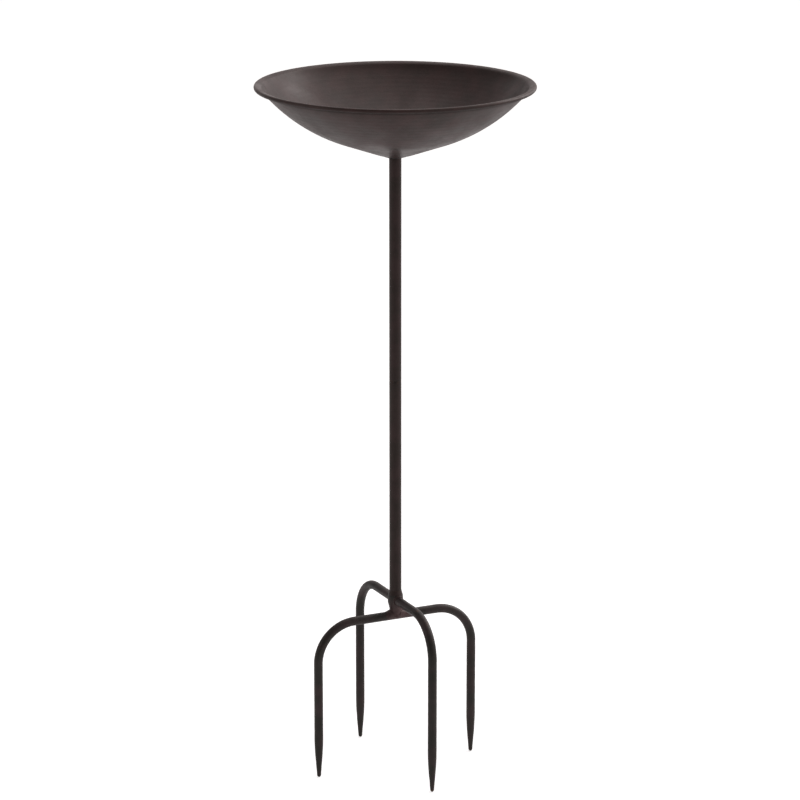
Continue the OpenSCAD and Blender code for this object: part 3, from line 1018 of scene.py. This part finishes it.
def make_lower_bar_weld(material):
    """A bead round the pole's foot, over the lower bar and down its sides, and a puddle along the bar."""
    bar_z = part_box("lower_prong_bar")[1].z - ROD_R
    pole_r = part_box("lower_pole")[1].x
    path = []
    for x, y, _ in circle(pole_r, 0, count=400):
        over = math.sqrt(max(0.0, ROD_R**2 - (LOWER_FOLLOW * y)**2))
        path.append((x, y * LOWER_DRAW_IN, bar_z + over - LOWER_DROP))
    bead = bead_rings(np.array(path), LOWER_BEAD_R, LOWER_RIPPLE, seed=21.0)
    puddle = bar_puddle(bar_z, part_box("lower_bar_weld")[1].x, seed=24.0)
    return weld_object("lower_bar_weld_bead", [bead, puddle], material)


# ---------------------------------------------------------------- stage

def make_camera():
    rim_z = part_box("bowl")[1].z
    a = math.radians(CAMERA_AZIMUTH)
    camera = bpy.data.objects.new("camera", bpy.data.cameras.new("camera"))
    bpy.context.scene.collection.objects.link(camera)
    camera.location = (math.sin(a) * CAMERA_DISTANCE, -math.cos(a) * CAMERA_DISTANCE,
                       rim_z + CAMERA_ABOVE_RIM)
    camera.rotation_euler = (math.radians(90 - CAMERA_PITCH), 0, a - math.radians(CAMERA_YAW))
    camera.data.lens = CAMERA_LENS
    camera.data.sensor_width = CAMERA_SENSOR
    camera.data.clip_start, camera.data.clip_end = CAMERA_NEAR, CAMERA_FAR
    bpy.context.scene.camera = camera


def make_floor():
    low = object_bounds()[0].z
    bpy.ops.mesh.primitive_plane_add(size=FLOOR_SIZE, location=(0, 0, low))
    floor = bpy.context.object
    floor.name = "floor"
    floor.data.materials.append(pale_floor("floor_pale"))


def area_light(name, place, size, power):
    data = bpy.data.lights.new(name, "AREA")
    data.shape = "RECTANGLE"
    data.size, data.size_y = size
    data.energy = power
    light = bpy.data.objects.new(name, data)
    bpy.context.scene.collection.objects.link(light)
    light.location = place
    light.rotation_euler = (Vector(LIGHT_TARGET) - Vector(place)).to_track_quat("-Z", "Y").to_euler()


def camera_side(right, back, up):
    """A place given as seen from the camera: metres to the right, away from it, and up."""
    a = math.radians(CAMERA_AZIMUTH)
    return (right * math.cos(a) - back * math.sin(a), right * math.sin(a) + back * math.cos(a), up)


def make_sky():
    """Soft surroundings that brighten towards the right and the back, and look white behind the part."""
    world = bpy.data.worlds.new("studio")
    bpy.context.scene.world = world
    world.use_nodes = True
    nodes, links = world.node_tree.nodes, world.node_tree.links
    direction = nodes.new("ShaderNodeTexCoord").outputs["Generated"]
    facing = nodes.new("ShaderNodeVectorMath")
    facing.operation = "DOT_PRODUCT"
    facing.inputs[1].default_value = Vector(camera_side(*SKY_BRIGHT_SIDE)).normalized()
    links.new(direction, facing.inputs[0])
    strength = map_node(nodes, links, facing.outputs["Value"], (SKY_FROM, SKY_TO), (SKY_DIM, SKY_BRIGHT))
    seen = nodes.new("ShaderNodeLightPath").outputs["Is Camera Ray"]
    background = nodes["Background"]
    links.new(mix_node(nodes, links, seen, SKY_TINT, (1, 1, 1)), background.inputs["Color"])
    links.new(math_node(nodes, links, "MAXIMUM", strength, seen), background.inputs["Strength"])


def make_studio():
    make_sky()
    for name, place, size, power in SOFTBOXES:
        area_light(name, camera_side(*place), size, power)
    settings = bpy.context.scene.view_settings
    settings.view_transform = "Standard"
    settings.look = "None"
    settings.exposure = 0.0


# ---------------------------------------------------------------- assembly

ROD_R = (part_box("lower_prong_bar")[1].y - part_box("lower_prong_bar")[0].y) / 2
# The browned patch round the welds: its middle, and where it is full and gone
HEAT_MIDDLE = (6.5 * MM, -5 * MM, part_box("lower_prong_bar")[1].z)
HEAT_FULL, HEAT_NONE = 8 * MM, 23 * MM

make_camera()
make_floor()
make_studio()

bowl_bronze = bronze("bowl_bronze", BOWL_TONES, spin=True)
pole_bronze = bronze("pole_bronze", POLE_TONES, heat=WELD_BROWN)
stake_bronze = bronze("stake_bronze", STAKE_TONES, heat=WELD_BROWN, sheen=PLAIN_SHEEN)
weld_bronze = bronze("weld_bronze", WELD_TONES, heat=WELD_BROWN)
zinc_steel = zinc("zinc_steel")
washer_rubber = rubber("washer_rubber")

# Each piece, the body it rides on, the CAD nodes it takes the place of, and its material slot
PIECES = [
    (make_bowl(bowl_bronze), "bowl", ["bowl"], "bowl_bronze"),
    (make_flange(bowl_bronze), "bowl", ["bowl_flange"], "bowl_bronze"),
    (make_flange_weld(bowl_bronze), "bowl", ["flange_weld"], "bowl_bronze"),
    (make_stud(zinc_steel), "bowl", ["bowl_stud"], "zinc_steel"),
    (make_washer(washer_rubber), "washer", ["bowl_washer"], "washer_rubber"),
    (make_tube("upper_pole_tube", "upper_pole", pole_bronze, seed=1.0),
     "upper_pole", ["upper_pole"], "pole_bronze"),
    (make_insert(zinc_steel), "upper_pole", ["top_insert"], "zinc_steel"),
    (make_ferrule(zinc_steel), "upper_pole", ["pole_ferrule"], "zinc_steel"),
    (make_tube("lower_pole_tube", "lower_pole", pole_bronze, seed=2.0),
     "stake", ["lower_pole"], "pole_bronze"),
    (make_collar(stake_bronze), "stake", ["stake_collar"], "stake_bronze"),
    (make_collar_weld(weld_bronze), "stake", ["collar_weld"], "weld_bronze"),
    (make_bar("upper_prong_rod", "upper_prong_bar", stake_bronze, along_y=True, seed=3.0),
     "stake", ["upper_prong_bar"], "stake_bronze"),
    (make_bar("lower_prong_rod", "lower_prong_bar", stake_bronze, along_y=False, seed=4.0),
     "stake", ["lower_prong_bar"], "stake_bronze"),
    (make_upper_bar_weld(weld_bronze), "stake", ["upper_bar_weld"], "weld_bronze"),
    (make_lower_bar_weld(weld_bronze), "stake", ["lower_bar_weld"], "weld_bronze"),
]
for piece, body, nodes_replaced, slot_name in PIECES:
    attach(piece, body)
    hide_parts(*nodes_replaced)
